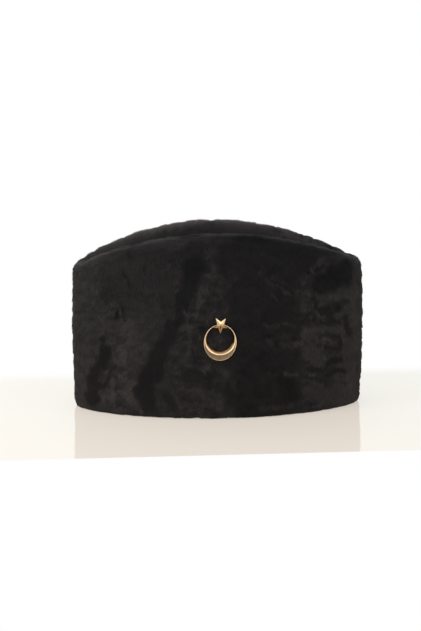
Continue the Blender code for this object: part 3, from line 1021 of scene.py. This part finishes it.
def gilt_finish():
    """Polished gilt brass: a warm yellow, browner in dirty patches and towards the back of the
    badge, low on its flanks. The browning stops above the star's middle, so the star's lower arms
    under the ring carry painted shade while its upper points and the ring's top stay bright. Fine
    rubbed scratches roughen it."""
    made, tree, shader = principled("gilt_brass")
    where = tree.nodes.new("ShaderNodeTexCoord")
    parts = tree.nodes.new("ShaderNodeSeparateXYZ")
    low = tree.nodes.new("ShaderNodeMapRange")
    back_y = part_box("crescent_star_badge")[1].y
    low.inputs["From Min"].default_value = back_y - 2.4 * MM
    low.inputs["From Max"].default_value = back_y - 0.6 * MM
    # Painted shade: the browning is kept below the star's middle, so the star's lower arms under
    # the ring are shaded and its upper points stay bright.
    shade_below_star_middle = tree.nodes.new("ShaderNodeMapRange")
    shade_below_star_middle.inputs["From Min"].default_value = BADGE_Z + 14.5 * MM
    shade_below_star_middle.inputs["From Max"].default_value = BADGE_Z + 13 * MM
    low_brown_and_shade = tree.nodes.new("ShaderNodeMath")
    low_brown_and_shade.operation = "MULTIPLY"
    patches = mottled(tree, 260, 4, 0, 1, (0, 0, 0), (1, 1, 1))
    # Random dirty patches, plus the browning towards the back and the painted shade below the
    # star's middle.
    dirt_and_shade = tree.nodes.new("ShaderNodeMath")
    dirt_and_shade.operation = "MULTIPLY_ADD"
    dirt_and_shade.inputs[1].default_value = 0.55
    colours = tree.nodes.new("ShaderNodeValToRGB")
    colours.color_ramp.elements[0].position = 0.25
    colours.color_ramp.elements[0].color = (0.80, 0.575, 0.345, 1)
    colours.color_ramp.elements[1].position = 1.0
    colours.color_ramp.elements[1].color = (0.40, 0.24, 0.11, 1)
    rub = tree.nodes.new("ShaderNodeMapping")
    rub.inputs["Scale"].default_value = (1.0, 1.0, 7.0)
    scratches = tree.nodes.new("ShaderNodeTexNoise")
    scratches.inputs["Scale"].default_value = 900
    scratches.inputs["Detail"].default_value = 3
    dull = tree.nodes.new("ShaderNodeMapRange")
    dull.inputs["From Min"].default_value = 0.3
    dull.inputs["From Max"].default_value = 0.8
    dull.inputs["To Min"].default_value = 0.14
    dull.inputs["To Max"].default_value = 0.26
    bump = tree.nodes.new("ShaderNodeBump")
    bump.inputs["Strength"].default_value = 0.12
    bump.inputs["Distance"].default_value = 0.0001
    link = tree.links.new
    link(where.outputs["Object"], parts.inputs["Vector"])
    link(where.outputs["Object"], rub.inputs["Vector"])
    link(rub.outputs["Vector"], scratches.inputs["Vector"])
    link(parts.outputs["Y"], low.inputs["Value"])
    link(parts.outputs["Z"], shade_below_star_middle.inputs["Value"])
    link(low.outputs["Result"], low_brown_and_shade.inputs[0])
    link(shade_below_star_middle.outputs["Result"], low_brown_and_shade.inputs[1])
    link(patches.outputs["Amount"], dirt_and_shade.inputs[0])
    link(low_brown_and_shade.outputs["Value"], dirt_and_shade.inputs[2])
    link(dirt_and_shade.outputs["Value"], colours.inputs["Fac"])
    link(scratches.outputs["Fac"], dull.inputs["Value"])
    link(scratches.outputs["Fac"], bump.inputs["Height"])
    link(colours.outputs["Color"], shader.inputs["Base Color"])
    link(dull.outputs["Result"], shader.inputs["Roughness"])
    link(bump.outputs["Normal"], shader.inputs["Normal"])
    shader.inputs["Metallic"].default_value = 1.0
    return made


badge_mesh = soldered("badge", crescent_mesh(), star_mesh())
badge_mesh.materials.clear()
badge_mesh.materials.append(gilt_finish())
place("gilt_badge", badge_mesh, "crescent_star_badge")


# Badge pin
# A plain steel post through the front pelt, with a flat head inside the hat. Its own solid shows.

def pin_finish():
    """Plain turned steel with duller spots."""
    made, tree, shader = principled("pin_steel")
    spots = mottled(tree, 600, 2, 0, 1, (0.40, 0.40, 0.41), (0.60, 0.60, 0.61))
    dull = tree.nodes.new("ShaderNodeMapRange")
    dull.inputs["To Min"].default_value = 0.28
    dull.inputs["To Max"].default_value = 0.5
    link = tree.links.new
    link(spots.outputs["Amount"], dull.inputs["Value"])
    link(spots.outputs["Colour"], shader.inputs["Base Color"])
    link(dull.outputs["Result"], shader.inputs["Roughness"])
    shader.inputs["Metallic"].default_value = 1.0
    return made


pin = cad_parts["badge_pin"]
pin.data.materials.clear()
pin.data.materials.append(pin_finish())


# Stage
# A deep cream shelf of glossy acrylic, in a white studio. The sky is white to the camera; for the
# light it gives, it is dim in front and bright behind. Soft lamps stand high at both sides.

SHELF_REACH = 3.0
SHELF_FRONT_Y = -181 * MM
SHELF_BACK_Y = 150 * MM
SHELF_FADE = 50 * MM
SKY_BANDS = (
    # share of the way from front to back, and the light's colour there
    (0.12, (0.20, 0.195, 0.19)),
    (0.26, (0.46, 0.45, 0.44)),
    (0.50, (0.60, 0.60, 0.60)),
)

shelf_mesh = bpy.data.meshes.new("shelf")
shelf_mesh.from_pydata(
    [
        (-SHELF_REACH, SHELF_FRONT_Y, 0),
        (SHELF_REACH, SHELF_FRONT_Y, 0),
        (SHELF_REACH, SHELF_BACK_Y, 0),
        (-SHELF_REACH, SHELF_BACK_Y, 0),
    ],
    [],
    [(0, 1, 2, 3)],
)
shelf = bpy.data.objects.new("shelf", shelf_mesh)
bpy.context.scene.collection.objects.link(shelf)


def shelf_finish():
    """Glossy cream acrylic, lit a little from inside. It fades to the sky's white at its back."""
    made, tree, shader = principled("cream_acrylic")
    shader.inputs["Base Color"].default_value = (0.30, 0.27, 0.24, 1)
    shader.inputs["Emission Color"].default_value = (0.80, 0.735, 0.655, 1)
    shader.inputs["Emission Strength"].default_value = 0.62
    shader.inputs["Roughness"].default_value = 0.06
    shader.inputs["IOR"].default_value = 1.28
    where = tree.nodes.new("ShaderNodeTexCoord")
    parts = tree.nodes.new("ShaderNodeSeparateXYZ")
    fade = tree.nodes.new("ShaderNodeMapRange")
    fade.interpolation_type = "SMOOTHSTEP"
    fade.inputs["From Min"].default_value = SHELF_BACK_Y - SHELF_FADE
    fade.inputs["From Max"].default_value = SHELF_BACK_Y
    white = tree.nodes.new("ShaderNodeEmission")
    mix = tree.nodes.new("ShaderNodeMixShader")
    link = tree.links.new
    link(where.outputs["Object"], parts.inputs["Vector"])
    link(parts.outputs["Y"], fade.inputs["Value"])
    link(fade.outputs["Result"], mix.inputs["Fac"])
    link(shader.outputs["BSDF"], mix.inputs[1])
    link(white.outputs["Emission"], mix.inputs[2])
    link(mix.outputs["Shader"], tree.nodes["Material Output"].inputs["Surface"])
    return made


def white_sky():
    """White where the camera looks at it. Its light is dim in front and cool and bright behind."""
    made = bpy.data.worlds.new("white_sky")
    made.use_nodes = True
    tree = made.node_tree
    seen = tree.nodes["Background"]
    seen.inputs["Color"].default_value = (1, 1, 1, 1)
    lit = tree.nodes.new("ShaderNodeBackground")
    where = tree.nodes.new("ShaderNodeTexCoord")
    parts = tree.nodes.new("ShaderNodeSeparateXYZ")
    behind = tree.nodes.new("ShaderNodeMapRange")
    behind.inputs["From Min"].default_value = -1.0
    glow = tree.nodes.new("ShaderNodeValToRGB")
    glow.color_ramp.elements[0].color = (0.20, 0.195, 0.19, 1)
    glow.color_ramp.elements[1].color = (0.78, 0.94, 1.0, 1)
    for share, colour in SKY_BANDS:
        glow.color_ramp.elements.new(share).color = (*colour, 1)
    path = tree.nodes.new("ShaderNodeLightPath")
    mix = tree.nodes.new("ShaderNodeMixShader")
    link = tree.links.new
    link(where.outputs["Generated"], parts.inputs["Vector"])
    link(parts.outputs["Y"], behind.inputs["Value"])
    link(behind.outputs["Result"], glow.inputs["Fac"])
    link(glow.outputs["Color"], lit.inputs["Color"])
    link(path.outputs["Is Camera Ray"], mix.inputs["Fac"])
    link(lit.outputs["Background"], mix.inputs[1])
    link(seen.outputs["Background"], mix.inputs[2])
    link(mix.outputs["Shader"], tree.nodes["World Output"].inputs["Surface"])
    return made


LAMPS = (
    # name, place, size across, size up, watts, mirrored; each faces the middle of the hat
    ("high_lamp_left", (-0.84, -0.42, 0.84), 0.5, 0.5, 6.5, False),
    ("high_lamp_right", (0.65, -0.42, 0.99), 0.5, 0.5, 2.2, False),
    ("low_lamp_left", (-1.25, -1.15, 0.35), 2.0, 1.6, 10.5, True),
    ("low_lamp_right", (1.25, -1.15, 0.35), 2.0, 1.6, 9.7, True),
    ("front_lamp", (-0.05, -1.15, 0.75), 1.8, 0.8, 5.5, True),
    ("lamp_behind", (-0.25, 0.45, 1.2), 1.2, 0.6, 3.0, True),
)


def lamp(name, spot, size_across, size_up, watts, mirrored):
    data = bpy.data.lights.new(name, "AREA")
    data.shape = "RECTANGLE"
    data.size = size_across
    data.size_y = size_up
    data.energy = watts
    made = bpy.data.objects.new(name, data)
    bpy.context.scene.collection.objects.link(made)
    made.location = spot
    made.visible_glossy = mirrored
    aim = Vector((0, 0, LOOK_HEIGHT)) - Vector(spot)
    made.rotation_euler = aim.to_track_quat("-Z", "Y").to_euler()


shelf_mesh.materials.append(shelf_finish())
bpy.context.scene.world = white_sky()
for row in LAMPS:
    lamp(*row)
bpy.context.scene.view_settings.view_transform = "Standard"
